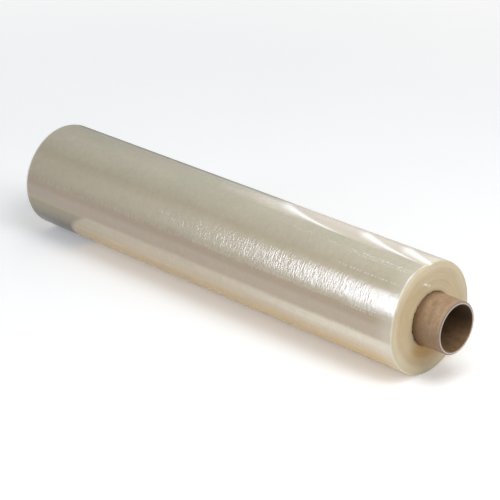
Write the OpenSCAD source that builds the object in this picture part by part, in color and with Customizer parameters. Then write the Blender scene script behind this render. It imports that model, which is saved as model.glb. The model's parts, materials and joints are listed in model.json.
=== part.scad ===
// Catering roll of cling film: clear stretch film wound on a board core.
// The roll lies on its side along X, on the small flat that the soft film takes
// under its own weight. The origin is on the surface it rests on, under the middle
// of the roll, and +Z is up. Sizes are in millimetres.

/* [Film] */
// Width of the film, which is the length of the wound part
film_w = 450; // [200:10:600]
// Outside diameter of the wound film
film_d = 98; // [90:1:160]
// Radius of the shoulder that the outer turns form at each end
shoulder_r = 2.2; // [0.5:0.1:4]
// Width of the flat that the roll rests on
rest_w = 12; // [6:0.5:16]

/* [Turns on the end faces] */
// Width of one band of turns, along the radius
band_w = 1.8; // [1.5:0.1:4]
// Depth of the groove between two bands
groove_depth = 0.15; // [0.05:0.05:0.5]
// Distance that the film wandered along the core as it was wound
wander = 0.7; // [0:0.05:1.5]

/* [Core] */
// Bore of the core, which a dispenser's spindle passes through
bore_d = 40; // [25:0.1:76.2]
// Thickness of the core's wall
core_wall = 2.7; // [2:0.05:6]
// Length of core that stands out at each end of the film
core_stub = 27; // [5:1:60]
// Chamfer on the inner edge of each cut end
bore_chamfer = 0.4; // [0.1:0.05:0.8]
// Chamfer on the outer edge of each cut end
edge_chamfer = 0.6; // [0.1:0.05:1]
// Gap between the core and the innermost turn
wind_gap = 0.05; // [0.02:0.01:0.2]

/* [Hidden] */
$fn = 128;

film_colour = [0.81, 0.75, 0.62];
board_colour = [0.66, 0.54, 0.42];

bore_r = bore_d / 2;
core_r = bore_r + core_wall;
core_len = film_w + 2 * core_stub;
film_r = film_d / 2;
// Height of the roll's axis over the surface that it rests on
axis_z = sqrt(pow(film_r, 2) - pow(rest_w / 2, 2));

// Radii between which the end faces show their bands of turns
face_in_r = core_r + wind_gap;
face_out_r = film_r - shoulder_r;
bands = max(2, round((face_out_r - face_in_r) / band_w));
// Each band has one point in the groove on its inner side and one on its crest
band_points = 2 * bands;
point_step = (face_out_r - face_in_r) / band_points;
// Straight pieces that make up the shoulder's quarter circle
shoulder_steps = 4;
// Angles by which the wander of the winding advances from point to point: a slow
// drift with a quick one on top, in degrees
slow_drift = 33;
quick_drift = 101;

function reversed(points) = [for (i = [len(points) - 1 : -1 : 0]) points[i]];

// How far the film had wandered towards +X where point i of the end face was wound.
// The film is as wide everywhere, so both ends move the same way.
function shift(i) = wander * (sin(slow_drift * i) + sin(quick_drift * i)) / 4;

// Depth of the end face at point i: a groove at each even point, a crest between
function groove(i) = i % 2 == 0 ? groove_depth : 0;

// End face from the core outwards, on the side that side gives as 1 or -1
function face_points(side) = [
    for (i = [0 : band_points - 1])
        [face_in_r + i * point_step, side * (film_w / 2 - groove(i)) + shift(i)]
];

// Rounded shoulder from the end face to the outermost turn
function shoulder_points(side) = [
    for (k = [0 : shoulder_steps])
        let (a = 90 * (1 - k / shoulder_steps))
        [face_out_r + shoulder_r * cos(a), side * (film_w / 2 - shoulder_r * (1 - sin(a)))]
];

// Half section of the wound film, with the radius along X and the width along Y
module film_section() {
    polygon(concat(
        face_points(1),
        shoulder_points(1),
        reversed(shoulder_points(-1)),
        reversed(face_points(-1))
    ));
}

// One end of the core's half section, from the bore to the outside
function core_end_points(side) = [
    [bore_r, side * (core_len / 2 - bore_chamfer)],
    [bore_r + bore_chamfer, side * core_len / 2],
    [core_r - edge_chamfer, side * core_len / 2],
    [core_r, side * (core_len / 2 - edge_chamfer)]
];

module core_section() {
    polygon(concat(core_end_points(1), reversed(core_end_points(-1))));
}

// Turns a half section about the roll's axis
module turned_on_axis() {
    translate([0, 0, axis_z])
        rotate([0, 90, 0])
            rotate_extrude()
                children();
}

// Everything under the resting surface, which is what the flat takes off the roll
module below_rest() {
    translate([-film_w, -film_r, -film_r])
        cube([2 * film_w, film_d, film_r]);
}

module core_tube() {
    color(board_colour)
        turned_on_axis()
            core_section();
}

module film_roll() {
    color(film_colour)
        difference() {
            turned_on_axis()
                film_section();
            below_rest();
        }
}

core_tube();
film_roll();
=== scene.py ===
"""Finished look of a catering roll of clear cling film, wound on a board core.

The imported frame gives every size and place. The wound film and the board core are
modelled here in more detail, and each replaces its own node of the frame.
"""
import json
import logging
import math
from dataclasses import dataclass, field
from enum import Enum
from typing import Callable, Mapping, Sequence

import bmesh
import bpy
from mathutils import Matrix, Vector, noise


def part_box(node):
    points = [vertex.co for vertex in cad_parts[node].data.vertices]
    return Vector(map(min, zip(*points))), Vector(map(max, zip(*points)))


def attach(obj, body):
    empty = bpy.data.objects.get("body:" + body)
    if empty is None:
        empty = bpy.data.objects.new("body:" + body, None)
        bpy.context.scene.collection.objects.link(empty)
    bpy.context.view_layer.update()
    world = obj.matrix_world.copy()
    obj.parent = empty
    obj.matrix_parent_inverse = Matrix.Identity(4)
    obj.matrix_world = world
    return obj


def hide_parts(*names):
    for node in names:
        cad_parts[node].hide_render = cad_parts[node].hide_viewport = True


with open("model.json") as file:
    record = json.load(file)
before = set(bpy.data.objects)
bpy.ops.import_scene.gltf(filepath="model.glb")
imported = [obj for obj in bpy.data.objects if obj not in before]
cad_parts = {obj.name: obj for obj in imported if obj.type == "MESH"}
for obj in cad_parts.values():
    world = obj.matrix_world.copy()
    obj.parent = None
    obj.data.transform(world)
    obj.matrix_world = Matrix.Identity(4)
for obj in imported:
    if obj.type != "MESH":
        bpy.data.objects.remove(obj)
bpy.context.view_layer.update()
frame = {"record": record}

MM = 0.001
# Distance within which two points count as one
TOUCHING = 0.001 * MM
AXIS = Vector((1.0, 0.0, 0.0))
# Scale that keeps every coordinate, and one that leaves out the place along the roll
WHOLE = (1.0, 1.0, 1.0)
ACROSS = (0.0, 1.0, 1.0)
# Seed of the scatter of the air pockets
SEED = 7
log = logging.getLogger("cling_film_roll")

Colour = tuple[float, float, float]


def linear(red: int, green: int, blue: int) -> Colour:
    """Turns a screen colour of 0 to 255 into the linear colour that shaders take.

    Args:
        red: Red of the screen colour.
        green: Green of the screen colour.
        blue: Blue of the screen colour.

    Returns:
        The linear red, green and blue, from 0 to 1.
    """
    def channel(value: int) -> float:
        """One channel by the sRGB curve."""
        share = value / 255
        return share / 12.92 if share <= 0.04045 else ((share + 0.055) / 1.055) ** 2.4

    return channel(red), channel(green), channel(blue)


def smooth(low: float, high: float, value: float) -> float:
    """Rises smoothly from 0 at low to 1 at high.

    Args:
        low: Where the rise starts.
        high: Where it ends.
        value: The number to place on the rise.

    Returns:
        A share from 0 to 1.
    """
    share = min(1.0, max(0.0, (value - low) / (high - low)))
    return share * share * (3 - 2 * share)


def bell(offset: float, width: float) -> float:
    """A bell of height 1 at offset 0, which has fallen to about a third at width."""
    return math.exp(-((offset / width) ** 2))


@dataclass(frozen=True)
class Fade:
    """A smooth change, from start before the place low to end after the place high."""

    low: float
    high: float
    start: float = 0.0
    end: float = 1.0

    def at(self, value: float) -> float:
        """What the change gives at that place."""
        return self.start + (self.end - self.start) * smooth(self.low, self.high, value)

    def scaled(self, factor: float) -> "Fade":
        """The same change with its place times a factor."""
        return Fade(self.low * factor, self.high * factor, self.start, self.end)

    def moved(self, offset: float) -> "Fade":
        """The same change, moved by an offset."""
        return Fade(offset + self.low, offset + self.high, self.start, self.end)


@dataclass(frozen=True)
class Grain:
    """Smooth noise by its waves in a metre along X, Y and Z, and its octaves."""

    waves: tuple[float, float, float]
    detail: float = 2.0
    roughness: float = 0.5


class Value:
    """A number in a shader, whose arithmetic adds Math nodes."""

    def __init__(self, tree: "ShaderTree", socket: bpy.types.NodeSocket) -> None:
        """Wraps one output socket of the tree."""
        self.tree = tree
        self.socket = socket

    def __add__(self, other: "Value | float") -> "Value":
        """Sum."""
        return self.tree.math("ADD", self, other)

    def __radd__(self, other: float) -> "Value":
        """Sum with a plain number on the left."""
        return self.tree.math("ADD", other, self)

    def __sub__(self, other: "Value | float") -> "Value":
        """Difference."""
        return self.tree.math("SUBTRACT", self, other)

    def __rsub__(self, other: float) -> "Value":
        """Difference with a plain number on the left."""
        return self.tree.math("SUBTRACT", other, self)

    def __mul__(self, other: "Value | float") -> "Value":
        """Product."""
        return self.tree.math("MULTIPLY", self, other)

    def __rmul__(self, other: float) -> "Value":
        """Product with a plain number on the left."""
        return self.tree.math("MULTIPLY", other, self)

    def __truediv__(self, other: "Value | float") -> "Value":
        """Quotient."""
        return self.tree.math("DIVIDE", self, other)

    def __neg__(self) -> "Value":
        """Opposite."""
        return self.tree.math("SUBTRACT", 0.0, self)

    def __abs__(self) -> "Value":
        """Absolute value."""
        return self.tree.math("ABSOLUTE", self)


Input = Value | bpy.types.NodeSocket | float | Sequence[float]


class ShaderTree:
    """The node tree of one material."""

    def __init__(self, name: str) -> None:
        """Makes an empty material.

        Args:
            name: Name of the material.
        """
        self.material = bpy.data.materials.new(name)
        self.material.use_nodes = True
        self.tree = self.material.node_tree
        self.tree.nodes.clear()

    def add(self, kind: str, settings: Mapping[str, object] | None = None,
            inputs: Mapping[int | str, Input] | None = None) -> bpy.types.Node:
        """Adds a node, sets it up and then fills its sockets.

        Args:
            kind: The node's type, such as ShaderNodeTexNoise.
            settings: The node's own settings. The key stops takes a ramp's stops.
            inputs: A number, colour or link for each input socket that isn't left alone.

        Returns:
            The new node.
        """
        node = self.tree.nodes.new(kind)
        for name, setting in (settings or {}).items():
            if name == "stops":
                self._set_stops(node.color_ramp, setting)
            else:
                setattr(node, name, setting)
        for key, value in (inputs or {}).items():
            if isinstance(value, Value):
                self.tree.links.new(value.socket, node.inputs[key])
            elif isinstance(value, bpy.types.NodeSocket):
                self.tree.links.new(value, node.inputs[key])
            else:
                node.inputs[key].default_value = value
        return node

    @staticmethod
    def _set_stops(ramp: bpy.types.ColorRamp, stops: Sequence[tuple[float, Colour]]) -> None:
        """Gives a colour ramp its stops.

        Args:
            ramp: The ramp.
            stops: Place from 0 to 1 and colour of each stop, in order.
        """
        while len(ramp.elements) > 1:
            ramp.elements.remove(ramp.elements[-1])
        ramp.elements[0].position = stops[0][0]
        ramp.elements[0].color = (*stops[0][1], 1.0)
        for place, colour in stops[1:]:
            ramp.elements.new(place).color = (*colour, 1.0)

    def math(self, operation: str, *numbers: Value | float) -> Value:
        """Adds a Math node on up to three numbers and gives its result."""
        node = self.add("ShaderNodeMath", {"operation": operation}, dict(enumerate(numbers)))
        return Value(self, node.outputs[0])

    def rise(self, value: Value, fade: Fade) -> Value:
        """A number sent through a smooth change."""
        node = self.add("ShaderNodeMapRange", {"interpolation_type": "SMOOTHSTEP"},
                        {"Value": value, "From Min": fade.low, "From Max": fade.high,
                         "To Min": fade.start, "To Max": fade.end})
        return Value(self, node.outputs["Result"])

    def mix(self, share: Value | float, first: Input, second: Input,
            blend: str = "MIX") -> bpy.types.NodeSocket:
        """Mixes two colours.

        Args:
            share: How much of the second colour there is.
            first: The colour at share 0.
            second: The colour at share 1.
            blend: How they mix, by the node's own names.

        Returns:
            The socket with the mixed colour.
        """
        def full(colour: Input) -> Input:
            """A plain colour gets its alpha."""
            return (*colour, 1.0) if isinstance(colour, tuple) else colour

        node = self.add("ShaderNodeMix", {"data_type": "RGBA", "blend_type": blend},
                        {0: share, 6: full(first), 7: full(second)})
        return node.outputs[2]

    def shaded(self, colour: Input, shade: Value) -> bpy.types.NodeSocket:
        """A colour times a brightness, where 1 keeps the colour."""
        grey = self.add("ShaderNodeCombineXYZ", None, {0: shade, 1: shade, 2: shade})
        return self.mix(1.0, colour, grey.outputs[0], "MULTIPLY")

    def place(self, scale: Sequence[float] = WHOLE,
              centre: Sequence[float] = (0.0, 0.0, 0.0)) -> bpy.types.NodeSocket:
        """Object coordinates about a centre, each axis times its scale.

        Args:
            scale: Factor for X, Y and Z.
            centre: The point that becomes zero.

        Returns:
            The socket with the scaled place.
        """
        coordinates = self.add("ShaderNodeTexCoord").outputs["Object"]
        moved = self.add("ShaderNodeVectorMath", {"operation": "SUBTRACT"},
                         {0: coordinates, 1: tuple(centre)}).outputs[0]
        scaled = self.add("ShaderNodeVectorMath", {"operation": "MULTIPLY"},
                          {0: moved, 1: tuple(scale)})
        return scaled.outputs[0]

    def parts(self, vector: bpy.types.NodeSocket) -> tuple[Value, Value, Value]:
        """The X, Y and Z of a vector."""
        split = self.add("ShaderNodeSeparateXYZ", None, {0: vector}).outputs
        return Value(self, split[0]), Value(self, split[1]), Value(self, split[2])

    def length(self, vector: bpy.types.NodeSocket) -> Value:
        """The length of a vector."""
        node = self.add("ShaderNodeVectorMath", {"operation": "LENGTH"}, {0: vector})
        return Value(self, node.outputs["Value"])

    def noise(self, vector: bpy.types.NodeSocket, detail: float, roughness: float) -> Value:
        """Smooth noise about 0.5 on already scaled coordinates.

        Args:
            vector: The socket with the coordinates.
            detail: Number of finer octaves.
            roughness: How strong each finer octave is against the one before it.

        Returns:
            The noise.
        """
        node = self.add("ShaderNodeTexNoise", {"normalize": True},
                        {"Vector": vector, "Scale": 1.0, "Detail": detail,
                         "Roughness": roughness})
        return Value(self, node.outputs[0])

    def grain(self, grain: Grain, centre: Sequence[float] = (0.0, 0.0, 0.0)) -> Value:
        """Smooth noise about 0.5 on the object's coordinates about a centre."""
        return self.noise(self.place(grain.waves, centre), grain.detail, grain.roughness)

    def attribute(self, name: str) -> Value:
        """A number that the mesh carries at its points."""
        return Value(self, self.add("ShaderNodeAttribute", {"attribute_name": name}).outputs["Fac"])

    def bump(self, height: Value, distance: float, strength: float = 1.0,
             normal: bpy.types.NodeSocket | None = None) -> bpy.types.NodeSocket:
        """Turns a height from 0 to 1 into a normal.

        Args:
            height: The height to shade.
            distance: How many metres a height of 1 stands up.
            strength: Share of the effect.
            normal: The normal to start from.

        Returns:
            The socket with the new normal.
        """
        inputs: dict[int | str, Input] = {
            "Height": height, "Distance": distance, "Strength": strength}
        if normal is not None:
            inputs["Normal"] = normal
        return self.add("ShaderNodeBump", None, inputs).outputs[0]

    def finish(self, sockets: Mapping[str, Input]) -> bpy.types.Material:
        """Ends the tree in a Principled surface.

        Args:
            sockets: Values and links of the surface's sockets.

        Returns:
            The finished material.
        """
        shader = self.add("ShaderNodeBsdfPrincipled", None, sockets)
        self.add("ShaderNodeOutputMaterial", None, {"Surface": shader.outputs[0]})
        return self.material


class End(Enum):
    """The two ends of the roll, by the sign of X."""

    NEAR = 1
    FAR = -1


@dataclass(frozen=True)
class Layout:
    """Places of the roll that its pieces share, in metres."""

    axis_height: float
    film_radius: float
    film_half: float
    core_radius: float
    bore_radius: float
    core_half: float

    @classmethod
    def from_frame(cls) -> "Layout":
        """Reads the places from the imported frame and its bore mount.

        Returns:
            The layout.
        """
        bore = next(m for m in frame["record"]["mounts"] if m["name"] == "core_bore")
        film_low, film_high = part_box("film_roll")
        core_low, core_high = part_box("core_tube")
        return cls(
            axis_height=bore["pos_m"][2],
            film_radius=(film_high.y - film_low.y) / 2,
            film_half=(film_high.x - film_low.x) / 2,
            core_radius=(core_high.y - core_low.y) / 2,
            bore_radius=bore["dims"]["r_mm"] * MM,
            core_half=(core_high.x - core_low.x) / 2,
        )

    @property
    def centre(self) -> Vector:
        """Middle of the roll's axis."""
        return Vector((0.0, 0.0, self.axis_height))

    def polar(self, point: Vector) -> tuple[float, float]:
        """Radius of a point about the axis, and its angle in degrees from -Y upwards."""
        up = point.z - self.axis_height
        return math.hypot(point.y, up), math.degrees(math.atan2(up, -point.y))

    def at(self, x: float, radius: float, angle: float) -> Vector:
        """The point at that x, radius and angle in degrees from the front upwards."""
        turn = math.radians(angle)
        return Vector((x, -radius * math.cos(turn),
                       self.axis_height + radius * math.sin(turn)))


def spun(name: str, outline: Sequence[tuple[float, float]], layout: Layout, steps: int,
         shape: Callable[[Vector], Vector],
         detail: Callable[[bmesh.types.BMesh], None] | None = None) -> bpy.types.Object:
    """Spins a closed outline about the roll's axis and then shapes the result.

    Args:
        name: Name of the new piece.
        outline: Closed outline as pairs of x and radius, in metres.
        layout: Places of the roll.
        steps: Number of steps round the axis.
        shape: Gives each point of the spun form its final place.
        detail: Makes the spun form finer where it needs that.

    Returns:
        The new object, smooth shaded and with its normals outwards.
    """
    straight_down = -90.0
    mesh = bmesh.new()
    points = [mesh.verts.new(layout.at(x, radius, straight_down)) for x, radius in outline]
    edges = [mesh.edges.new((a, b)) for a, b in zip(points, points[1:] + points[:1])]
    bmesh.ops.spin(mesh, geom=points + edges, cent=layout.centre, axis=AXIS,
                   angle=2 * math.pi, steps=steps, use_merge=True, use_duplicate=False)
    bmesh.ops.remove_doubles(mesh, verts=mesh.verts, dist=TOUCHING)
    if detail:
        detail(mesh)
    for vertex in mesh.verts:
        vertex.co = shape(vertex.co)
    bmesh.ops.recalc_face_normals(mesh, faces=mesh.faces)
    for face in mesh.faces:
        face.smooth = True
    data = bpy.data.meshes.new(name)
    mesh.to_mesh(data)
    mesh.free()
    piece = bpy.data.objects.new(name, data)
    bpy.context.scene.collection.objects.link(piece)
    return piece


@dataclass(frozen=True)
class Crease:
    """A fold that the tension of winding left under the outermost turn.

    It starts steep across the roll and bends until it runs along it, and it gets
    lower and narrower on the way. Its head and tail are shares of its reach.
    """

    start: float
    reach: float
    height: float
    width: float
    first_angle: float = 103.5
    last_angle: float = 80.0
    bend: float = 34.0 * MM
    thinning: float = 34.0 * MM
    full_width: float = 5.0 * MM
    least_width: float = 0.3 * MM
    width_below: float = 0.75
    width_above: float = 0.5
    head: Fade = Fade(-0.15, 0.1)
    tail: Fade = Fade(0.6, 1.05, 1.0, 0.0)

    def angle(self, x: float) -> float:
        """Angle in degrees at which the fold's crest lies at that x."""
        drop = math.exp(-max(0.0, x - self.start) / self.bend)
        return self.last_angle + (self.first_angle - self.last_angle) * drop

    def profile(self, x: float, angle: float, radius: float) -> float:
        """Height of the fold at a point, as a share of its full height.

        Args:
            x: The point's place along the roll, in metres.
            angle: Its angle in degrees.
            radius: Radius of the roll in metres.

        Returns:
            A share from 0 to 1: a soft ridge, steeper above its crest than below it.
        """
        passed = x - self.start
        if not self.head.low * self.reach < passed < self.tail.high * self.reach:
            return 0.0
        to_arc = math.radians(1.0) * radius
        slope = -(self.angle(x) - self.last_angle) / self.bend * to_arc
        across = (angle - self.angle(x)) * to_arc / math.hypot(1.0, slope)
        width = self.width * math.exp(-max(0.0, passed - self.full_width) / self.thinning)
        width += self.least_width
        side = self.width_below if across < 0 else self.width_above
        ends = self.head.scaled(self.reach).at(passed) * self.tail.scaled(self.reach).at(passed)
        return bell(across, side * width) * ends


@dataclass(frozen=True)
class AirRow:
    """A row of small pockets of air under the outermost turn, along the roll.

    The height is that of a pocket, the spread is how far pockets stray from the row,
    air is how white they show as trapped air and painted glints, and gaps is how far the
    row breaks off in places.
    """

    start: float
    end: float
    angle: float
    spacing: float
    size: float
    height: float
    spread: float
    air: float
    gaps: float = 0.0
    stretch: float = 1.4
    unevenness: float = 0.5
    pocket_seeds: tuple[float, float] = (7.13, 2.0)
    patch_seed: float = 9.0
    patch: float = 7.0 * MM
    patches: Fade = Fade(0.35, 0.65)
    lead_in: Fade = Fade(0.0, 20.0 * MM)
    lead_out: Fade = Fade(-10.0 * MM, 0.0, 1.0, 0.0)

    def pocket(self, number: int, x: float, off: float) -> float:
        """Height of one pocket at a point.

        Args:
            number: Which pocket, counted from the middle of the roll.
            x: The point's place along the roll, in metres.
            off: Its distance over the row, in metres.

        Returns:
            A share from 0 to 1.
        """
        step, seed = self.pocket_seeds
        stray = noise.noise_vector(Vector((number * step, self.angle, seed)))
        middle = (number + 0.5 + self.unevenness * stray.x) * self.spacing
        shift = self.spread * stray.y * 2
        size = self.size * (1 + self.unevenness * stray.z)
        return bell(math.hypot((x - middle) / self.stretch, off - shift), size)

    def profile(self, x: float, angle: float, radius: float) -> float:
        """Height of the nearest pocket at a point, as a share of the full height.

        Args:
            x: The point's place along the roll, in metres.
            angle: Its angle in degrees.
            radius: Radius of the roll in metres.

        Returns:
            A share from 0 to 1.
        """
        off = (angle - self.angle) * math.radians(1.0) * radius
        if abs(off) > 2 * self.spread + 2 * self.size or not self.start < x < self.end:
            return 0.0
        number = math.floor(x / self.spacing)
        nearest = max(self.pocket(number + step, x, off) for step in (-1, 0, 1))
        patch = 0.5 + 0.5 * noise.noise(Vector((x / self.patch, self.angle, self.patch_seed)))
        whole = 1 - self.gaps * (1 - self.patches.at(patch))
        ends = self.lead_in.at(x - self.start) * self.lead_out.at(x - self.end)
        return nearest * ends * whole


@dataclass(frozen=True)
class Wrinkle:
    """A small wrinkle of film on the near end face, just over the core, with a painted glint.

    Its start and end are places across the roll and over its axis. Each lump is a
    place and a width as shares of its length, and a share of its height.
    """

    start: tuple[float, float] = (-12.2 * MM, 33.4 * MM)
    end: tuple[float, float] = (-1.2 * MM, 29.6 * MM)
    width: float = 1.0 * MM
    height: float = 0.6 * MM
    sway: float = 0.5 * MM
    lumps: tuple[tuple[float, float, float], ...] = ((0.3, 0.27, 1.0), (0.82, 0.15, 0.9))

    def profile(self, point: Vector, layout: Layout) -> float:
        """Height of the wrinkle at a point of the end face, as a share of its height.

        Args:
            point: The point, in metres.
            layout: Places of the roll.

        Returns:
            A share from 0 to 1.
        """
        spot = Vector((point.y, point.z - layout.axis_height))
        start, end = Vector(self.start), Vector(self.end)
        along = (end - start).normalized()
        share = (spot - start).dot(along) / (end - start).length
        if not 0 < share < 1:
            return 0.0
        middle = start + (end - start) * share
        bend = self.sway * math.sin(2 * math.pi * share)
        across = (spot - middle).dot(Vector((-along.y, along.x))) - bend
        lump = max(high * bell(share - place, wide) for place, wide, high in self.lumps)
        return lump * math.sin(math.pi * share) ** 0.5 * bell(across, self.width)


@dataclass(frozen=True)
class FilmFinish:
    """Colours and gloss of the clear film, wound tight.

    Angles are in degrees from the front upwards, the same on both sides of the roll
    unless the text says round. Heights over the axis are shares of the roll's radius.
    """

    # Tones of the side by angle, underside to top: bands of painted reflection and shade
    # Painted warm bounce light and shade underneath, then a painted pale reflection
    amber_painted_bounce: Colour = linear(210, 169, 76)
    gold_painted_reflection: Colour = linear(203, 172, 120)
    cream_painted_reflection: Colour = linear(194, 174, 144)
    # Painted reflection of the floor, then a dark painted reflection band
    front: Colour = linear(170, 147, 118)
    dark: Colour = linear(157, 132, 98)
    # Painted glow round the highlight, then a painted sheen from above on the top
    middle: Colour = linear(182, 168, 142)
    light: Colour = linear(191, 176, 150)
    upper: Colour = linear(190, 179, 155)
    crown_painted_sheen: Colour = linear(200, 189, 167)
    tone_range: tuple[float, float] = (-60.0, 90.0)

    # Tones that lie over those in places, among them painted reflection, shade and highlight
    # Painted dark reflection past the top of the roll, towards the back
    back: Colour = linear(128, 119, 98)
    # Painted pale reflection in a band below the front
    pale: Colour = linear(232, 220, 200)
    green: Colour = linear(182, 186, 157)
    loose: Colour = linear(186, 169, 145)
    margin: Colour = linear(222, 212, 190)
    # Painted dark reflection and shade at the far end's lower front
    corner: Colour = linear(154, 136, 96)
    corner_low_painted_shade: Colour = linear(52, 36, 5)
    # White of trapped air, used also for painted highlights and glints
    air: Colour = linear(255, 252, 247)

    # End faces, with painted light on the top and a warm painted shadow under the core
    end_outer: Colour = linear(211, 196, 165)
    end_inner: Colour = linear(210, 190, 153)
    end_ring: Colour = linear(203, 181, 144)
    end_edge: Colour = linear(200, 187, 161)
    end_top_painted_light: Colour = linear(210, 195, 168)
    end_foot_painted_shadow: Colour = linear(198, 153, 74)

    # Noises of the side
    fine: Grain = Grain((3500.0, 400.0, 400.0), 0.0)
    flecks: Grain = Grain((720.0, 245.0, 245.0), 0.0)
    fleck_bands: Grain = Grain((70.0, 50.0, 50.0), 1.0)
    clouds: Grain = Grain((12.0, 26.0, 26.0), 3.0)
    mottle: Grain = Grain((150.0, 130.0, 130.0), 3.0, 0.6)
    streaks: Grain = Grain((6.0, 260.0, 260.0))
    green_patches: Grain = Grain((14.0, 40.0, 40.0))
    green_centre: tuple[float, float, float] = (0.3, 0.1, 0.0)

    # How far the noises sway the tones, in degrees
    fleck_sway: float = 2.5
    cloud_sway: float = 4.0

    # Where the tones in places lie: angles round, angles, shares and metres along
    back_in: Fade = Fade(97.0, 114.0)
    back_out: Fade = Fade(125.0, 150.0)
    pale_in: Fade = Fade(-31.0, -14.0)
    pale_out: Fade = Fade(-11.5, -6.5)
    pale_along: Fade = Fade(-0.02, 0.21, 0.0, 0.6)
    green_share: Fade = Fade(0.48, 0.7, 0.0, 0.3)
    green_above: Fade = Fade(38.0, 58.0)
    margin_along: Fade = Fade(-22.0 * MM, -2.0 * MM, 0.0, 0.45)

    # Rounded dark corner of painted reflection and shade at the far end: its furthest
    # reach, its height there, its curve in metres for each radius squared, and its edges
    corner_reach: float = -0.171
    corner_height: float = -0.7
    corner_curve: float = 0.092
    corner_edge: Fade = Fade(-5.0 * MM, 4.0 * MM, 1.0, 0.0)
    corner_top: Fade = Fade(-0.2, -0.05, 1.0, 0.0)
    corner_front: Fade = Fade(-5.0 * MM, 5.0 * MM, 1.0, 0.0)
    corner_deep: Fade = Fade(-0.78, -0.08, 1.0, 0.0)

    # Brightness of the side: random tone, and painted light growing towards the near end
    cloud_part: float = 0.4
    mottle_part: float = 0.35
    fleck_part: float = 0.25
    shade: Fade = Fade(0.3, 0.7, 0.93, 1.05)
    streak_shade: Fade = Fade(0.3, 0.7, -0.05, 0.05)
    streak_top: Fade = Fade(-0.5, 0.1, 1.0, 0.0)
    painted_light_gain_along: float = 0.55

    # Relief and gloss of the side
    cloud_bump: float = 0.5 * MM
    fleck_bump: float = 0.115 * MM
    fine_bump: float = 0.007 * MM
    fleck_depth: Fade = Fade(0.3, 0.7, 0.75, 1.25)
    fleck_far: Fade = Fade(-0.12, 0.06, 0.5, 1.0)
    fleck_near: Fade = Fade(0.15, 0.22, 1.0, 0.6)
    side_roughness: float = 0.168
    back_dulling: float = 0.55
    ior: float = 2.2

    # Rings, sway and relief of the end faces, and where their painted light and shadow lie
    end_clouds: Grain = Grain((0.0, 45.0, 45.0), 3.0)
    rings: Grain = Grain((1300.0, 1.5, 0.0), 3.0)
    ring_sway: float = 4.0 * MM
    outer_from: Fade = Fade(38.5 * MM, 43.0 * MM)
    ring_from: Fade = Fade(33.5 * MM, 37.5 * MM)
    edge_from: Fade = Fade(45.5 * MM, 47.5 * MM)
    # Painted light on the top, and a warm painted shadow under the core
    top_above: Fade = Fade(5.0 * MM, 30.0 * MM, 0.0, 0.2)
    foot_turn: Fade = Fade(0.45, 0.97)
    foot_reach: Fade = Fade(25.0 * MM, 42.0 * MM, 1.0, 0.0)
    fine_part: float = 0.22
    end_shade: Fade = Fade(0.3, 0.7, 0.96, 1.03)
    # Painted light: lighter towards the top front
    end_slant: float = 0.9
    end_painted_light_slope: Fade = Fade(-0.9, 1.1, 0.95, 1.05)
    end_bump: float = 0.03 * MM
    end_bump_strength: float = 0.7
    end_roughness: float = 0.45
    glow_share: float = 0.7
    glow_colours: tuple[float, float, float] = (1.0, 0.72, 0.35)
    glow_depth: float = 7.0 * MM

    def tones(self) -> list[tuple[float, Colour]]:
        """Tones of the side, each at an angle: painted reflection and shade over the film's colour.

        Returns:
            Pairs of a place within the tone range, from 0 to 1, and a colour.
        """
        low, high = self.tone_range
        tones = [
            (-48.0, self.amber_painted_bounce), (-38.0, self.gold_painted_reflection), (-18.0, self.cream_painted_reflection),
            (-9.5, self.cream_painted_reflection), (-5.0, self.front), (4.0, self.front),
            (9.0, self.dark), (14.0, self.dark), (17.5, self.middle),
            (23.0, self.light), (38.0, self.light), (48.0, self.middle),
            (60.0, self.upper), (76.0, self.crown_painted_sheen), (90.0, self.crown_painted_sheen),
        ]
        return [((angle - low) / (high - low), tone) for angle, tone in tones]

    def paint_far_corner_shade(self, tree: ShaderTree, colour: Input, along: Value, across: Value,
                   height: Value) -> bpy.types.NodeSocket:
        """Lays the rounded dark corner of painted reflection and shade at the far end over a
        colour.

        Args:
            tree: The material's tree.
            colour: The colour so far.
            along: Place along the roll, in metres.
            across: Place across the roll, in metres.
            height: Height over the axis, as a share of the roll's radius.

        Returns:
            The socket with the new colour.
        """
        raised = height - self.corner_height
        start = (raised * raised) * self.corner_curve + self.corner_reach
        corner = tree.rise(along - start, self.corner_edge)
        corner = corner * tree.rise(height, self.corner_top)
        corner = corner * tree.rise(across, self.corner_front)
        tone = tree.mix(tree.rise(height, self.corner_deep), self.corner, self.corner_low_painted_shade)
        return tree.mix(corner, colour, tone)

    def side(self, layout: Layout) -> bpy.types.Material:
        """Side material: fine flecks and painted bands of reflection and shade under a clear gloss.

        Args:
            layout: Places of the roll.

        Returns:
            The material.
        """
        tree = ShaderTree("film_side")
        centre = tuple(layout.centre)
        along, across, up = tree.parts(tree.place(WHOLE, centre))
        height = up * (1 / layout.film_radius)
        flecks = tree.grain(self.flecks, centre)
        clouds = tree.grain(self.clouds, centre)
        mottle = tree.grain(self.mottle, centre)
        angle = tree.math("ARCTAN2", up, abs(across)) * math.degrees(1.0)
        angle = angle + (flecks - 0.5) * self.fleck_sway + (clouds - 0.5) * self.cloud_sway
        round_angle = tree.math("ARCTAN2", up, -across) * math.degrees(1.0)
        low, high = self.tone_range
        # Bands of painted reflection and painted shade by angle round the roll
        colour = tree.add("ShaderNodeValToRGB", {"stops": self.tones()},
                          {0: (angle - low) * (1 / (high - low))}).outputs[0]
        # Painted dark reflection past the top of the roll; the same mask dulls the gloss there
        behind = tree.rise(round_angle, self.back_in) - tree.rise(round_angle, self.back_out)
        colour = tree.mix(behind, colour, self.back)
        # Painted pale reflection below the front, stronger towards the near end
        pale = tree.rise(angle, self.pale_in) - tree.rise(angle, self.pale_out)
        colour = tree.mix(pale * tree.rise(along, self.pale_along), colour, self.pale)
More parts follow.
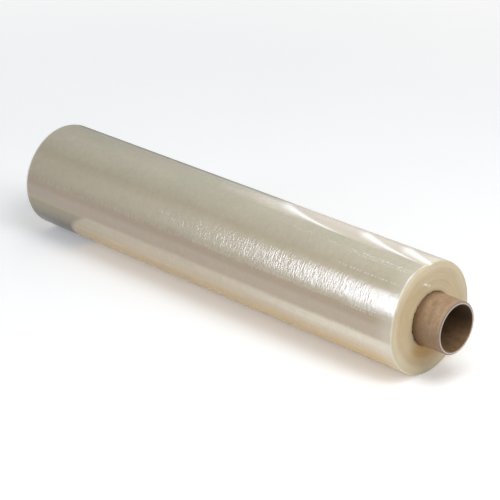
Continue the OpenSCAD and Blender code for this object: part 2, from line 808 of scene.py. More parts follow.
        # Painted dark reflection and shade in the far end's corner
        colour = self.paint_far_corner_shade(tree, colour, along, across, height)
        patches = tree.grain(self.green_patches, self.green_centre)
        green = tree.rise(patches, self.green_share) * tree.rise(angle, self.green_above)
        colour = tree.mix(green, colour, self.green)
        mixed = clouds * self.cloud_part + mottle * self.mottle_part + flecks * self.fleck_part
        streaks = tree.rise(tree.grain(self.streaks, centre), self.streak_shade)
        shade = tree.rise(mixed, self.shade) * (1.0 + streaks * tree.rise(height, self.streak_top))
        # Painted light: the side grows lighter towards the near end
        colour = tree.shaded(colour, shade * (1.0 + along * self.painted_light_gain_along))
        loose = tree.attribute("loose")
        colour = tree.mix(loose, colour, self.loose)
        margin = tree.rise(along, self.margin_along.moved(layout.film_half))
        colour = tree.mix(margin, colour, self.margin)
        # White of trapped air and painted highlights on folds, pockets and shoulder edges
        colour = tree.mix(tree.attribute("air"), colour, self.air)
        depth = tree.rise(tree.grain(self.fleck_bands, centre), self.fleck_depth)
        depth = depth * tree.rise(along, self.fleck_far) * tree.rise(along, self.fleck_near)
        normal = tree.bump(clouds, self.cloud_bump)
        normal = tree.bump(flecks * depth, self.fleck_bump, 1.0, normal)
        normal = tree.bump(tree.grain(self.fine, centre), self.fine_bump, 1.0, normal)
        return tree.finish({
            "Base Color": colour,
            "Roughness": behind * (1.0 - loose) * self.back_dulling + self.side_roughness,
            "IOR": self.ior,
            "Normal": normal,
        })

    def ends(self, layout: Layout) -> bpy.types.Material:
        """Material of the end faces: waxy turn edges in soft rings, with painted light and shadow.

        Args:
            layout: Places of the roll.

        Returns:
            The material.
        """
        tree = ShaderTree("film_ends")
        flat = tree.place(ACROSS, layout.centre)
        radius = tree.length(flat)
        _, across, up = tree.parts(flat)
        clouds = tree.grain(self.end_clouds, layout.centre)
        wavy = radius + (clouds - 0.5) * self.ring_sway
        outwards, drift, _ = self.rings.waves
        rings = tree.add("ShaderNodeCombineXYZ", None, {0: radius * outwards, 1: clouds * drift})
        fine = tree.noise(rings.outputs[0], self.rings.detail, self.rings.roughness)
        outer = tree.rise(wavy, self.outer_from)
        colour = tree.mix(outer, self.end_inner, self.end_outer)
        colour = tree.mix(tree.rise(wavy, self.ring_from) - outer, colour, self.end_ring)
        colour = tree.mix(tree.rise(radius, self.edge_from), colour, self.end_edge)
        # Painted light on the top, then a warm painted shadow under the core
        colour = tree.mix(tree.rise(up, self.top_above), colour, self.end_top_painted_light)
        foot = tree.rise(-up / radius, self.foot_turn) * tree.rise(radius, self.foot_reach)
        colour = tree.mix(foot, colour, self.end_foot_painted_shadow)
        shade = tree.rise(fine * self.fine_part + clouds * (1 - self.fine_part), self.end_shade)
        # Painted light: lighter towards the top front
        slope = tree.rise(up - across * self.end_slant, self.end_painted_light_slope.scaled(layout.film_radius))
        colour = tree.shaded(colour, shade * slope)
        # Painted glint of the wrinkle, and painted highlight on the shoulder's edges
        colour = tree.mix(tree.attribute("air"), colour, self.air)
        return tree.finish({
            "Base Color": colour,
            "Roughness": self.end_roughness,
            "Subsurface Weight": self.glow_share,
            "Subsurface Radius": self.glow_colours,
            "Subsurface Scale": self.glow_depth,
            "Normal": tree.bump(fine, self.end_bump, self.end_bump_strength),
        })


@dataclass(frozen=True)
class BoardFinish:
    """Colours of the wound brown board, with painted shade and painted light.

    Heights over the axis are shares of the core's radius, or of the bore's inside it.
    """

    face_light: Colour = linear(185, 156, 127)
    face_deep: Colour = linear(158, 127, 98)
    foot: Colour = linear(98, 66, 36)
    cut: Colour = linear(200, 189, 179)
    ply: Colour = linear(128, 105, 86)
    worn: Colour = linear(150, 128, 112)
    bore_painted_lit: Colour = linear(162, 126, 91)
    bore_dark_shade_and_stains: Colour = linear(84, 65, 46)

    # Noises of the board, and what they give its face
    blotches: Grain = Grain((420.0, 420.0, 420.0), 4.0, 0.65)
    fibres: Grain = Grain((2200.0, 500.0, 500.0), 3.0, 0.65)
    wisps: Grain = Grain((190.0, 70.0, 70.0), 3.0, 0.6)
    stains: Grain = Grain((110.0, 190.0, 190.0), 3.0, 0.6)
    blotch_part: float = 0.25
    fibre_part: float = 0.3
    wisp_part: float = 0.45
    face_tone: Fade = Fade(0.36, 0.64)

    # Dark warm painted shade on the core's foot next to the film, by distance, and on its underside
    foot_reach: Fade = Fade(-0.2, 0.9, 13.0 * MM, 9.0 * MM)
    foot_sway: float = 2.0 * MM
    foot_share: Fade = Fade(0.0, 1.0, 0.8, 0.0)
    under: Fade = Fade(-0.75, 0.9, 0.4, 0.0)

    # Bore: painted light and shade, lighter low down but for its lowest strip, with darker stains
    inside: Fade = Fade(0.1 * MM, 0.4 * MM, 1.0, 0.0)
    bore_rise: Fade = Fade(-0.95, 0.2)
    sole: Fade = Fade(-1.0, -0.5, 0.45, 0.0)
    stain_share: Fade = Fade(0.4, 0.64, 0.0, 0.36)

    # Cut ends: the worn rim, the cut board and the innermost ply
    end_from: Fade = Fade(-1.2 * MM, -0.7 * MM)
    rim_from: Fade = Fade(-1.5 * MM, -0.8 * MM)
    ply_to: Fade = Fade(0.5 * MM, 0.8 * MM, 1.0, 0.0)

    # Relief and gloss
    fibre_bump: float = 0.6
    blotch_bump: float = 0.4
    bump: float = 0.15 * MM
    bump_strength: float = 0.7
    roughness: float = 0.8
    specular: float = 0.35

    def material(self, layout: Layout) -> bpy.types.Material:
        """Material of the core: fibres and blotches, paler where the ends are cut.

        Args:
            layout: Places of the roll.

        Returns:
            The material.
        """
        tree = ShaderTree("core_board")
        centre = tuple(layout.centre)
        along, _, up = tree.parts(tree.place(WHOLE, centre))
        radius = tree.length(tree.place(ACROSS, centre))
        blotches = tree.grain(self.blotches, centre)
        fibres = tree.grain(self.fibres, centre)
        wisps = tree.grain(self.wisps, centre)
        mixed = blotches * self.blotch_part + fibres * self.fibre_part + wisps * self.wisp_part
        face = tree.mix(tree.rise(mixed, self.face_tone), self.face_deep, self.face_light)
        # Painted shade on the foot next to the film and on the underside
        reach = tree.rise(up, self.foot_reach.scaled(layout.core_radius))
        out = (abs(along) + blotches * self.foot_sway - layout.film_half) / reach
        face = tree.mix(tree.rise(out, self.foot_share), face, self.foot)
        face = tree.mix(tree.rise(up, self.under.scaled(layout.core_radius)), face, self.foot)
        # Painted light low in the bore, painted shade higher up and on its lowest strip
        bore = tree.mix(tree.rise(up, self.bore_rise.scaled(layout.bore_radius)),
                        self.bore_painted_lit, self.bore_dark_shade_and_stains)
        bore = tree.mix(tree.rise(up, self.sole.scaled(layout.bore_radius)), bore, self.bore_dark_shade_and_stains)
        stains = tree.rise(tree.grain(self.stains, centre), self.stain_share)
        bore = tree.mix(stains, bore, self.bore_dark_shade_and_stains)
        inside = tree.rise(radius, self.inside.moved(layout.bore_radius))
        colour = tree.mix(inside, face, bore)
        rim = tree.rise(radius, self.rim_from.moved(layout.core_radius))
        ring = tree.mix(rim, self.cut, self.worn)
        ring = tree.mix(tree.rise(radius, self.ply_to.moved(layout.bore_radius)), ring, self.ply)
        end = tree.rise(abs(along), self.end_from.moved(layout.core_half))
        colour = tree.mix(end * (1.0 - inside), colour, ring)
        relief = fibres * self.fibre_bump + blotches * self.blotch_bump
        return tree.finish({
            "Base Color": colour,
            "Roughness": self.roughness,
            "Specular IOR Level": self.specular,
            "Normal": tree.bump(relief, self.bump, self.bump_strength),
        })


@dataclass(frozen=True)
class Shoulder:
    """The uneven shoulder between an end face and the outermost turn.

    A setback is how far the side stops short of the end face, in metres. Angles are
    in degrees from the front upwards.
    """

    depth: float = 2.2 * MM
    points: int = 9
    far_setback: float = 1.6 * MM
    far_wobble: float = 0.6 * MM
    near_setback: float = 0.7 * MM
    near_wobble: float = 0.3 * MM
    near_top: float = 2.7 * MM
    near_back: float = 1.2 * MM
    top_angle: float = 64.0
    top_width: float = 27.0
    back_over: Fade = Fade(75.0, 130.0)
    back_under: Fade = Fade(-60.0, -120.0)
    wobbles: float = 1.5
    wobble_seed: float = 5.0

    # Its curve: how steep it is at the end face, how deep it gets, and how it bends
    steepness: float = 1.5
    reach_share: float = 0.5
    reach_least: float = 0.7 * MM
    straight_share: float = 0.55
    bend: float = 2.5
    taper: Fade = Fade(0.0, 16.0 * MM, 1.0, 0.0)

    def setback(self, end: End, angle: float) -> float:
        """How far the side stops short of an end face at an angle.

        Args:
            end: Which end of the roll.
            angle: The angle in degrees.

        Returns:
            The setback in metres.
        """
        turn = math.radians(angle)
        wobble = noise.noise(Vector((math.cos(turn) * self.wobbles,
                                     math.sin(turn) * self.wobbles,
                                     end.value * self.wobble_seed)))
        if end is End.FAR:
            return self.far_setback + self.far_wobble * wobble
        top = bell(angle - self.top_angle, self.top_width)
        back = self.back_over.at(angle) + self.back_under.at(angle)
        return (self.near_setback + self.near_top * top + self.near_back * back
                + self.near_wobble * wobble)

    def curve(self, share: float, setback: float) -> tuple[float, float]:
        """One point of the shoulder.

        Args:
            share: Its place, from 0 at the side to 1 at the end face.
            setback: The setback at its angle.

        Returns:
            How far it lies behind the end face and under the side, in metres.
        """
        reach = min(self.depth, self.reach_share * setback + self.reach_least)
        bent = (1 - self.straight_share) * share ** self.bend
        return (setback * (1 - share) ** self.steepness,
                reach * (self.straight_share * share + bent))


@dataclass(frozen=True)
class PaintedEdgeHighlight:
    """How white the painted highlight on the outermost turns' cut edges shows along the shoulder.
    """

    width: float = 0.7 * MM
    far: float = 0.6
    near: float = 0.28
    near_top: float = 0.9
    patchiness: float = 0.9
    patch: float = 11.0
    patch_seeds: tuple[float, float] = (3.0, 4.0)
    top_in: Fade = Fade(15.0, 40.0)
    top_out: Fade = Fade(72.0, 90.0, 1.0, 0.0)

    def strength(self, end: End, angle: float) -> float:
        """How white the painted highlight on the edges shows at an angle, from 0 to 1.

        Args:
            end: Which end of the roll.
            angle: The angle in degrees.

        Returns:
            A share from 0 to 1.
        """
        if end is End.FAR:
            return self.far
        end_seed, seed = self.patch_seeds
        spot = Vector((angle / self.patch, end.value * end_seed, seed))
        patch = 0.5 + self.patchiness * noise.noise(spot)
        top = self.top_in.at(angle) * self.top_out.at(angle)
        return self.near + self.near_top * top * patch


@dataclass(frozen=True)
class RaggedEdge:
    """The uneven edge of the innermost turns, where they meet the core."""

    depth: float = 2.2 * MM
    inset: float = 0.2 * MM
    patch: float = 5.0
    calm: float = 0.05
    seed: float = 1.0
    reach: Fade = Fade(0.5 * MM, 1.2 * MM, 1.0, 0.0)

    def drawn_in(self, x: float, angle: float, over_core: float) -> float:
        """How far a point of an end face is drawn in.

        Args:
            x: The point's place along the roll, in metres.
            angle: Its angle in degrees.
            over_core: Its height over the core, in metres.

        Returns:
            The distance in metres.
        """
        spot = Vector((angle / self.patch, x, self.seed))
        ragged = max(0.0, noise.noise(spot) - self.calm)
        return (self.depth * ragged + self.inset) * self.reach.at(over_core)


@dataclass(frozen=True)
class Slack:
    """How the outermost turn gives: a hollow behind the folds and an uneven gauge.

    Angles are in degrees from the front upwards, and distances in metres.
    """

    mean: float = 0.07 * MM
    gauge: float = 0.02 * MM
    gauge_length: float = 9.0 * MM
    gauge_seed: float = 3.0
    wave: float = 0.05 * MM
    wave_length: float = 70.0 * MM
    wave_turns: float = 2.0
    hollow: float = 0.45 * MM
    hollow_along: Fade = Fade(20.0 * MM, 70.0 * MM)
    hollow_in: Fade = Fade(60.0, 78.0)
    hollow_out: Fade = Fade(100.0, 118.0, 1.0, 0.0)
    loose_along: Fade = Fade(20.0 * MM, 75.0 * MM)
    loose_edge: Fade = Fade(-5.0, 9.0)
    loose_out: Fade = Fade(120.0, 160.0, 1.0, 0.0)

    def depth(self, x: float, angle: float, raised: float) -> float:
        """How deep the turn lies at a point.

        Args:
            x: The point's place along the roll, in metres.
            angle: Its angle in degrees.
            raised: Height of a fold there, in metres.

        Returns:
            The depth under the plain radius in metres.
        """
        hollow = self.hollow * self.hollow_along.at(x)
        hollow *= self.hollow_in.at(angle) * self.hollow_out.at(angle)
        hollow *= 1 - min(1.0, raised / self.hollow)
        turn = math.radians(angle)
        gauge = noise.noise(Vector((x / self.gauge_length, 0.0, self.gauge_seed)))
        wave = noise.noise(Vector((x / self.wave_length, self.wave_turns * math.cos(turn),
                                   self.wave_turns * math.sin(turn))))
        return hollow + self.mean - self.gauge * gauge - self.wave * wave

    def looseness(self, x: float, angle: float, crest: float) -> float:
        """How loose the turn lies at a point behind a fold's crest, from 0 to 1."""
        return (self.loose_along.at(x) * self.loose_edge.at(angle - crest)
                * self.loose_out.at(angle))


@dataclass(frozen=True)
class Patch:
    """A part of the side or an end face between two limits on each of two numbers."""

    first: tuple[float, float]
    second: tuple[float, float]

    def holds(self, first: float, second: float) -> bool:
        """Tells whether both numbers lie between their limits."""
        return (self.first[0] < first < self.first[1]
                and self.second[0] < second < self.second[1])


@dataclass
class WoundFilm:
    """The clear film: its side, both end faces and the hidden seat on the core."""

    layout: Layout
    finish: FilmFinish = FilmFinish()
    steps: int = 192
    skin: float = 0.05 * MM
    seat: float = 0.02 * MM

    # Distance between points along the side, and from its edges to the first ones
    side_step: float = 2.4 * MM
    edge_rings: tuple[float, ...] = (0.4 * MM, 0.9 * MM, 1.6 * MM)

    # Bands of turns on the end faces, and the drift of the winding in degrees a point
    band: float = 1.8 * MM
    groove: float = 0.025 * MM
    points_per_band: int = 4
    wander: float = 0.7 * MM
    drift_share: float = 0.25
    slow_drift: float = 33.0
    quick_drift: float = 101.0
    quick_share: float = 0.25
    calm: Fade = Fade(0.85, 1.0, 1.0, 0.0)

    # Depths under the side's plain radius down to which a face has the side's material,
    # and a point has the outermost turn's air and painted highlight, is in a finer patch
    # and gets the relief
    face_depth: float = 2.0 * MM
    turn_depth: float = 1.0 * MM
    patch_depth: float = 0.5 * MM
    relief_depth: float = 0.3 * MM

    # Margin under the shoulder, and distance from the end faces without relief
    shoulder_margin: float = 0.2 * MM
    relief_inset: float = 0.2 * MM

    # Share of the half width beyond which the near end face lies, and the wrinkle's start
    # over the core
    end_share: float = 0.9
    wrinkle_from: float = 1.0 * MM

    shoulder: Shoulder = Shoulder()
    painted_edge_highlight: PaintedEdgeHighlight = PaintedEdgeHighlight()
    ragged: RaggedEdge = RaggedEdge()
    slack: Slack = Slack()
    wrinkle: Wrinkle = Wrinkle()
    # How white a fold shows: trapped air and a painted highlight
    fold_air_and_highlight: Fade = Fade(0.05, 1.15)
    creases: tuple[Crease, ...] = (
        Crease(start=54 * MM, reach=94 * MM, height=0.22 * MM, width=10.6 * MM),
        Crease(start=144 * MM, reach=82 * MM, height=0.22 * MM, width=10.0 * MM),
        Crease(start=189 * MM, reach=70 * MM, height=0.22 * MM, width=10.8 * MM),
    )
    rows: tuple[AirRow, ...] = (
        AirRow(start=78 * MM, end=150 * MM, angle=69.0, spacing=2.6 * MM, size=0.6 * MM,
               height=0.04 * MM, spread=1.6 * MM, air=0.4, gaps=0.8),
        AirRow(start=146 * MM, end=223 * MM, angle=68.2, spacing=2.3 * MM, size=0.65 * MM,
               height=0.05 * MM, spread=0.7 * MM, air=0.85, gaps=0.6),
        AirRow(start=146 * MM, end=223 * MM, angle=65.4, spacing=2.7 * MM, size=0.6 * MM,
               height=0.05 * MM, spread=0.7 * MM, air=0.7, gaps=0.6),
        AirRow(start=142 * MM, end=221 * MM, angle=49.5, spacing=3.9 * MM, size=0.55 * MM,
               height=0.1 * MM, spread=0.1 * MM, air=0.6, gaps=0.3),
        AirRow(start=168 * MM, end=214 * MM, angle=17.2, spacing=3.4 * MM, size=0.5 * MM,
               height=0.08 * MM, spread=0.1 * MM, air=0.5),
        AirRow(start=168 * MM, end=214 * MM, angle=14.4, spacing=3.1 * MM, size=0.5 * MM,
               height=0.08 * MM, spread=0.1 * MM, air=0.5),
    )

    # Finer parts of the mesh, by x and angle on the side, and by y and height over the
    # axis on the end face
    side_patches: tuple[Patch, ...] = (
        Patch((36 * MM, 225 * MM), (61.0, 109.0)),
        Patch((140 * MM, 225 * MM), (46.0, 53.0)),
        Patch((165 * MM, 215 * MM), (11.0, 19.0)),
    )
    end_patch: Patch = Patch((-15 * MM, 4 * MM), (26.5 * MM, 36 * MM))
    cuts: int = 2

    radius: float = field(init=False)
    half: float = field(init=False)

    def __post_init__(self) -> None:
        """Works out the side's plain radius and half the width of the film."""
        self.radius = self.layout.film_radius - self.skin
        points, per_point = 60, 10
        drift = [self.drift(step / per_point) for step in range(points * per_point)]
        self.half = self.layout.film_half - max(max(drift), -min(drift))

    def drift(self, point: float) -> float:
        """How far towards +X the winding had wandered at one turn.

        Args:
            point: The turn, in half bands counted outwards.

        Returns:
            The distance in metres.
        """
        slow = math.sin(math.radians(self.slow_drift * point))
        quick = math.sin(math.radians(self.quick_drift * point))
        return self.wander * self.drift_share * (slow + self.quick_share * quick)

    def face(self, end: End) -> list[tuple[float, float]]:
        """Outline of one end face and its shoulder, from the core outwards.

        Args:
            end: Which end of the roll.

        Returns:
            Pairs of x and radius, in metres.
        """
        inner = self.layout.core_radius + self.seat
        outer = self.radius - self.shoulder.depth
        bands = round((outer - inner) / self.band)
        count = bands * self.points_per_band
        points = []
        for k in range(count):
            share = k / count
            point = 2 * bands * share
            dip = self.groove * (1 + math.cos(math.pi * point)) / 2
            x = end.value * (self.half - dip) + self.drift(point) * self.calm.at(share)
            points.append((x, inner + (outer - inner) * share))
        for k in range(self.shoulder.points):
            share = 1 - k / (self.shoulder.points - 1)
            points.append((end.value * (self.half - self.shoulder.depth * (1 - share)),
                           self.radius - self.shoulder.depth * share))
        return points

    def outline(self) -> list[tuple[float, float]]:
        """Closed outline of half a section through the roll.

        Returns:
            Pairs of x and radius, in metres.
        """
        near, far = self.face(End.NEAR), self.face(End.FAR)
        inset = self.edge_rings[-1]
        start, end = near[-1][0] - inset, far[-1][0] + inset
        count = round((start - end) / self.side_step)
        side = [near[-1][0] - step for step in self.edge_rings[:-1]]
        side += [start - (start - end) * k / count for k in range(count + 1)]
        side += [far[-1][0] + step for step in self.edge_rings[-2::-1]]
        return near + [(x, self.radius) for x in side] + far[::-1]

    def edge(self, x: float, angle: float) -> tuple[End, float]:
        """The end nearest to x, and how far from the middle the side stops there."""
        end = End.NEAR if x > 0 else End.FAR
        return end, self.half - self.shoulder.setback(end, angle)

    def shoulder_place(self, x: float, radius: float, angle: float) -> tuple[float, float]:
        """Bends the plain chamfer of the outline into the uneven shoulder.

        Args:
            x: Place along the roll in metres.
            radius: Radius in metres.
            angle: Angle in degrees.

        Returns:
            The new x and radius.
        """
        depth = self.radius - radius
        if depth > self.shoulder.depth:
            return x, radius
        end, edge = self.edge(x, angle)
        setback = self.half - edge
        if depth > TOUCHING:
            back, sunk = self.shoulder.curve(depth / self.shoulder.depth, setback)
            return end.value * (self.half - back), self.radius - sunk
        weight = self.shoulder.taper.at(self.half - self.shoulder.depth - abs(x))
        return x + end.value * (self.shoulder.depth - setback) * weight, radius

    def relief(self, x: float, angle: float) -> tuple[float, float]:
        """How the outermost turn lies at a point of the side.

        Args:
            x: Place along the roll in metres.
            angle: Angle in degrees.

        Returns:
            How far the surface lies under the plain radius in metres, and how white it shows
            from air under the turn and painted highlights, from 0 to 1.
        """
        raised = 0.0
        air = 0.0
        for crease in self.creases:
            share = crease.profile(x, angle, self.radius)
            raised = max(raised, crease.height * share)
            air = max(air, self.fold_air_and_highlight.at(share))
        depth = self.slack.depth(x, angle, raised)
        for row in self.rows:
            share = row.profile(x, angle, self.radius)
            depth -= row.height * share
            air = max(air, row.air * share)
        return depth, air

    def painted_edge_whiteness(self, x: float, angle: float) -> float:
        """Painted highlight on the outermost turns' cut edge at a point, from 0 to 1."""
        end, edge = self.edge(x, angle)
        return self.painted_edge_highlight.strength(end, angle) * bell(abs(x) - edge, self.painted_edge_highlight.width)

    def shape(self, point: Vector) -> Vector:
        """Moves a point of the plain spun form to where the real film lies.

        Args:
            point: The point.

        Returns:
            Its new place.
        """
        radius, angle = self.layout.polar(point)
        over_core = radius - self.layout.core_radius
        x = point.x
        if radius > self.radius - self.shoulder.depth - self.shoulder_margin:
            x, radius = self.shoulder_place(x, radius, angle)
            if radius > self.radius - self.relief_depth and abs(x) < self.half - self.relief_inset:
                radius -= self.relief(x, angle)[0]
        elif x > self.end_share * self.half and over_core > self.wrinkle_from:
            x += self.wrinkle.height * self.wrinkle.profile(point, self.layout)
        elif over_core < self.ragged.reach.high:
            x -= math.copysign(self.ragged.drawn_in(x, angle, over_core), x)
        moved = self.layout.at(x, radius, angle)
        moved.z = max(moved.z, 0.0)
        return moved

    def divide(self, mesh: bmesh.types.BMesh,
               inside: Callable[[bmesh.types.BMVert], bool]) -> set[bmesh.types.BMVert]:
        """Divides the edges that have both their points in a part of the mesh.

        Args:
            mesh: The mesh.
            inside: Tells whether a point lies in that part.

        Returns:
            The points of that part from before.
        """
        chosen = {vertex for vertex in mesh.verts if inside(vertex)}
        edges = [edge for edge in mesh.edges if chosen.issuperset(edge.verts)]
        bmesh.ops.subdivide_edges(mesh, edges=edges, cuts=self.cuts, use_grid_fill=True)
        return chosen

    def refine_side(self, mesh: bmesh.types.BMesh, patch: Patch) -> None:
        """Makes a patch of the side finer, with its new points on the plain radius.

        Args:
            mesh: The mesh.
            patch: The patch, by x and angle.
        """
        def inside(vertex: bmesh.types.BMVert) -> bool:
            """Tells whether a point lies on the side within the patch."""
            radius, angle = self.layout.polar(vertex.co)
            return patch.holds(vertex.co.x, angle) and radius > self.radius - self.patch_depth

        chosen = self.divide(mesh, inside)
        for vertex in mesh.verts:
            if vertex not in chosen and inside(vertex):
                vertex.co = self.layout.at(vertex.co.x, self.radius,
                                           self.layout.polar(vertex.co)[1])

    def refine_end(self, mesh: bmesh.types.BMesh) -> None:
        """Makes the near end face finer round the wrinkle."""
        def inside(vertex: bmesh.types.BMVert) -> bool:
            """Tells whether a point lies on the end face near the wrinkle."""
            up = vertex.co.z - self.layout.axis_height
            return (vertex.co.x > self.end_share * self.half
                    and self.end_patch.holds(vertex.co.y, up))

        self.divide(mesh, inside)

    def detail(self, mesh: bmesh.types.BMesh) -> None:
        """Makes the mesh finer where the folds, the rows of air and the wrinkle are.

        Args:
            mesh: The plain spun mesh.
        """
        for patch in self.side_patches:
            self.refine_side(mesh, patch)
        self.refine_end(mesh)

    def dress(self, mesh: bpy.types.Mesh) -> None:
        """Gives the mesh its two materials, and its points their air, painted highlights and
        looseness.

        Args:
            mesh: The finished mesh.
        """
        mesh.materials.append(self.finish.side(self.layout))
        mesh.materials.append(self.finish.ends(self.layout))
        for face in mesh.polygons:
            x = face.center.x
            radius, angle = self.layout.polar(face.center)
            past_edge = abs(x) > self.edge(x, angle)[1]
            face.material_index = int(past_edge or radius < self.radius - self.face_depth)
        air = mesh.attributes.new("air", "FLOAT", "POINT")
        loose = mesh.attributes.new("loose", "FLOAT", "POINT")
        for vertex in mesh.vertices:
            x = vertex.co.x
            radius, angle = self.layout.polar(vertex.co)
            white = 0.0
            # Painted highlight on the shoulder's edges
            if radius > self.radius - self.shoulder.depth:
                white = self.painted_edge_whiteness(x, angle)
            # Painted glint on the wrinkle of the near end face
            elif x > self.end_share * self.half:
                white = self.wrinkle.profile(vertex.co, self.layout)
            # White of trapped air and painted highlights on the folds and pocket rows
            if radius > self.radius - self.turn_depth:
                white = max(white, self.relief(x, angle)[1])
                crest = self.creases[0].angle(x)
                loose.data[vertex.index].value = self.slack.looseness(x, angle, crest)
            air.data[vertex.index].value = white

    def build(self) -> None:
        """Makes the piece, dresses it and puts it in place of its node."""
        piece = spun("film_wound", self.outline(), self.layout, self.steps, self.shape,
                     self.detail)
        self.dress(piece.data)
        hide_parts("film_roll")
        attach(piece, "root")
        log.info("film_wound: %d faces", len(piece.data.polygons))


@dataclass
class BoardCore:
    """The wound board tube that carries the film."""

    layout: Layout
    finish: BoardFinish = BoardFinish()
    steps: int = 160

    # Worn edges of the cut ends, and the points of their outline
    bore_edge: float = 0.4 * MM
    outer_edge: float = 1.0 * MM
    bore_edge_steps: int = 3
    outer_edge_steps: int = 5
    face_steps: int = 6
    bore_rings: tuple[float, float] = (12.0 * MM, 4.0 * MM)
    stub_rings: int = 13
    stub_step: float = 2.0 * MM

    # Fuzz of the cut ends and unevenness of the wall: how deep and how long it is
    fuzz: float = 0.12 * MM
    fuzz_length: float = 1.5 * MM
    fuzz_reach: Fade = Fade(-3.0 * MM, 0.0)
    dents: float = 0.04 * MM
    dent_length: float = 12.0 * MM

    def end(self, end: End) -> list[tuple[float, float]]:
        """Outline of one cut end from the bore outwards, with worn edges.

        Args:
            end: Which end of the tube.

        Returns:
            Pairs of x and radius, in metres.
        """
        half = self.layout.core_half
        bore, outer = self.layout.bore_radius, self.layout.core_radius
        quarter = math.pi / 2
        points = [(half - ring, bore) for ring in self.bore_rings]
        for k in range(self.bore_edge_steps + 1):
            turn = quarter * k / self.bore_edge_steps
            points.append((half - self.bore_edge * (1 - math.sin(turn)),
                           bore + self.bore_edge * (1 - math.cos(turn))))
        flat = outer - bore - self.bore_edge - self.outer_edge
        for k in range(1, self.face_steps):
            points.append((half, bore + self.bore_edge + flat * k / self.face_steps))
        for k in range(self.outer_edge_steps + 1):
            turn = quarter * (1 - k / self.outer_edge_steps)
            points.append((half - self.outer_edge * (1 - math.sin(turn)),
                           outer - self.outer_edge * (1 - math.cos(turn))))
        for k in range(1, self.stub_rings + 1):
            points.append((half - self.outer_edge - k * self.stub_step, outer))
        return [(end.value * x, radius) for x, radius in points]

    def outline(self) -> list[tuple[float, float]]:
        """Closed outline of half a section through the tube."""
        return self.end(End.NEAR) + self.end(End.FAR)[::-1]

    def shape(self, point: Vector) -> Vector:
        """Gives the plain tube its slightly uneven wall and fuzzy cut ends.

        Args:
            point: A point of the plain tube.

        Returns:
            Its new place.
        """
        radius, angle = self.layout.polar(point)
        near_end = self.fuzz_reach.moved(self.layout.core_half).at(abs(point.x))
        fuzz = self.fuzz * near_end * (1 + noise.noise(point / self.fuzz_length)) / 2
        radius -= self.dents * (1 + noise.noise(point / self.dent_length))
        return self.layout.at(point.x - math.copysign(fuzz, point.x), radius, angle)

    def build(self) -> None:
        """Makes the piece, dresses it and puts it in place of its node."""
        piece = spun("core_board", self.outline(), self.layout, self.steps, self.shape)
        piece.data.materials.append(self.finish.material(self.layout))
        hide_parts("core_tube")
        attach(piece, "root")
        log.info("core_board: %d faces", len(piece.data.polygons))


@dataclass(frozen=True)
class FloorFinish:
    """A plain pale floor that glows a little, more so further away from the roll."""

    dark: Colour = (0.94, 0.94, 0.94)
    light: Colour = (0.97, 0.97, 0.97)
    speckle: Grain = Grain((6.0, 6.0, 6.0))
    near_glow: Colour = (0.2, 0.195, 0.195)
    far_glow: Colour = (0.59, 0.54, 0.53)
    glow_reach: Fade = Fade(0.3, 2.0)
    roughness: float = 0.9
    specular: float = 0.1

    def material(self) -> bpy.types.Material:
        """Material of the floor, whose glow lights nothing but shows and mirrors.

        Returns:
            The material.
        """
        tree = ShaderTree("floor")
        tone = tree.mix(tree.grain(self.speckle), self.dark, self.light)
        away = tree.length(tree.place())
        glow = tree.mix(tree.rise(away, self.glow_reach), self.near_glow, self.far_glow)
        path = tree.add("ShaderNodeLightPath").outputs
        seen = tree.math("MAXIMUM", Value(tree, path["Is Camera Ray"]),
                         tree.math("MAXIMUM", Value(tree, path["Is Glossy Ray"]),
                                   Value(tree, path["Is Transmission Ray"])))
        return tree.finish({
            "Base Color": tone,
            "Roughness": self.roughness,
            "Specular IOR Level": self.specular,
            "Emission Color": tree.mix(seen, (0.0, 0.0, 0.0), glow),
            "Emission Strength": 1.0,
        })


@dataclass(frozen=True)
class SoftBox:
    """A soft rectangular lamp that faces a point.

    Its radiance is how bright its face looks, where 1 is white.
    """

    name: str
    place: tuple[float, float, float]
    size: tuple[float, float]
    radiance: float
    colour: Colour = (1.0, 1.0, 1.0)
    aim: tuple[float, float, float] = (0.2, 0.0, 0.0)
    upwards: tuple[float, float, float] = (0.0, 0.0, 1.0)

    def hang(self) -> None:
        """Hangs the lamp."""
        data = bpy.data.lights.new(self.name, "AREA")
        data.shape = "RECTANGLE"
        data.size, data.size_y = self.size
        data.energy = self.radiance * math.pi * self.size[0] * self.size[1]
        data.color = self.colour
        out = (Vector(self.place) - Vector(self.aim)).normalized()
        side = Vector(self.upwards).cross(out).normalized()
        turn = Matrix((side, out.cross(side), out)).transposed()
        lamp = bpy.data.objects.new(self.name, data)
        lamp.location = self.place
        lamp.rotation_euler = turn.to_euler()
        bpy.context.scene.collection.objects.link(lamp)


@dataclass(frozen=True)
class Reflection:
    """A soft lamp that the camera sees mirrored in the side of the roll.

    Its middle shows at an x in metres and an angle in degrees from the front upwards.
    Away is its distance from there, and its size is along the roll and round it.
    """

    name: str
    x: float
    angle: float
    away: float
    size: tuple[float, float]
    radiance: float
    colour: Colour

    def hang(self, layout: Layout, camera: Vector) -> None:
        """Hangs the lamp.

        Args:
            layout: Places of the roll.
            camera: Place of the camera.
        """
        spot = layout.at(self.x, layout.film_radius, self.angle)
        normal = layout.at(0.0, 1.0, self.angle) - layout.centre
        view = (camera - spot).normalized()
        out = 2 * view.dot(normal) * normal - view
        SoftBox(self.name, tuple(spot + self.away * out), self.size, self.radiance,
                self.colour, tuple(spot), tuple(out.cross(AXIS))).hang()


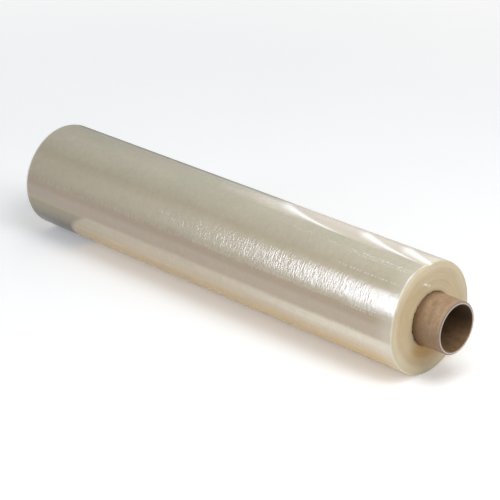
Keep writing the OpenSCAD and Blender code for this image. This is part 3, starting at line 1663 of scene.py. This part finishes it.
@dataclass
class Studio:
    """The floor, the soft light and the camera."""

    layout: Layout

    # Camera: its direction in degrees, its distance and aim in metres, and its lens by
    # the width of the sensor and by the focal length and picture width in pixels
    azimuth: float = 44.215
    elevation: float = 24.113
    distance: float = 1668.9 * MM
    aim_x: float = 21.79 * MM
    aim_below_axis: float = 3.11 * MM
    sensor_width: float = 36.0
    focal_pixels: float = 1905.39
    picture_pixels: float = 500.0
    clip: tuple[float, float] = (0.05, 100.0)

    floor_size: float = 12.0
    floor_finish: FloorFinish = FloorFinish()
    reflections: tuple[Reflection, ...] = (
        Reflection("front_box", 0.318, 29.9, 3.0, (0.86, 1.35), 2.98, (0.79, 0.855, 1.0)),
        Reflection("front_rim", 0.318, 29.9, 3.02, (0.86, 1.95), 2.98, (0.79, 0.855, 1.0)),
        Reflection("back_box", 0.29, 92.5, 3.0, (1.23, 2.0), 1.15, (1.0, 0.98, 0.96)),
    )
    boxes: tuple[SoftBox, ...] = (
        SoftBox("top_box", (0.5, -0.1, 0.97), (0.6, 0.6), 3.9),
        SoftBox("side_box", (2.2, 0.3, 1.3), (1.2, 1.2), 3.0),
    )
    sky_colour: Colour = (0.95, 1.0, 0.99)
    sky_strength: float = 0.36

    def back(self) -> Vector:
        """Direction from the roll to the camera."""
        turn, rise = math.radians(self.azimuth), math.radians(self.elevation)
        return Vector((math.sin(turn) * math.cos(rise), -math.cos(turn) * math.cos(rise),
                       math.sin(rise)))

    def camera_place(self) -> Vector:
        """Where the camera stands."""
        aim = Vector((self.aim_x, 0.0, self.layout.axis_height - self.aim_below_axis))
        return aim + self.back() * self.distance

    def camera(self) -> None:
        """Puts up the camera."""
        data = bpy.data.cameras.new("camera")
        data.sensor_width = self.sensor_width
        data.lens = self.sensor_width * self.focal_pixels / self.picture_pixels
        data.clip_start, data.clip_end = self.clip
        camera = bpy.data.objects.new("camera", data)
        camera.location = self.camera_place()
        camera.rotation_euler = (-self.back()).to_track_quat("-Z", "Y").to_euler()
        bpy.context.scene.collection.objects.link(camera)
        bpy.context.scene.camera = camera

    def floor(self) -> None:
        """Lays the floor."""
        mesh = bmesh.new()
        bmesh.ops.create_grid(mesh, x_segments=1, y_segments=1, size=self.floor_size)
        data = bpy.data.meshes.new("floor")
        mesh.to_mesh(data)
        mesh.free()
        floor = bpy.data.objects.new("floor", data)
        bpy.context.scene.collection.objects.link(floor)
        data.materials.append(self.floor_finish.material())

    def sky(self) -> None:
        """Spreads an even sky."""
        world = bpy.data.worlds.new("sky")
        world.use_nodes = True
        sky = world.node_tree.nodes["Background"]
        sky.inputs["Color"].default_value = (*self.sky_colour, 1.0)
        sky.inputs["Strength"].default_value = self.sky_strength
        bpy.context.scene.world = world

    def build(self) -> None:
        """Sets the stage."""
        self.camera()
        self.floor()
        for reflection in self.reflections:
            reflection.hang(self.layout, self.camera_place())
        for box in self.boxes:
            box.hang()
        self.sky()
        bpy.context.scene.view_settings.view_transform = "Standard"
        log.info("studio: camera, floor, lamps and sky")


def main() -> None:
    """Builds every piece in order and reports it."""
    logging.basicConfig(level=logging.INFO, format="%(name)s: %(message)s")
    noise.seed_set(SEED)
    layout = Layout.from_frame()
    Studio(layout).build()
    BoardCore(layout).build()
    WoundFilm(layout).build()


if __name__ == "__main__":
    main()
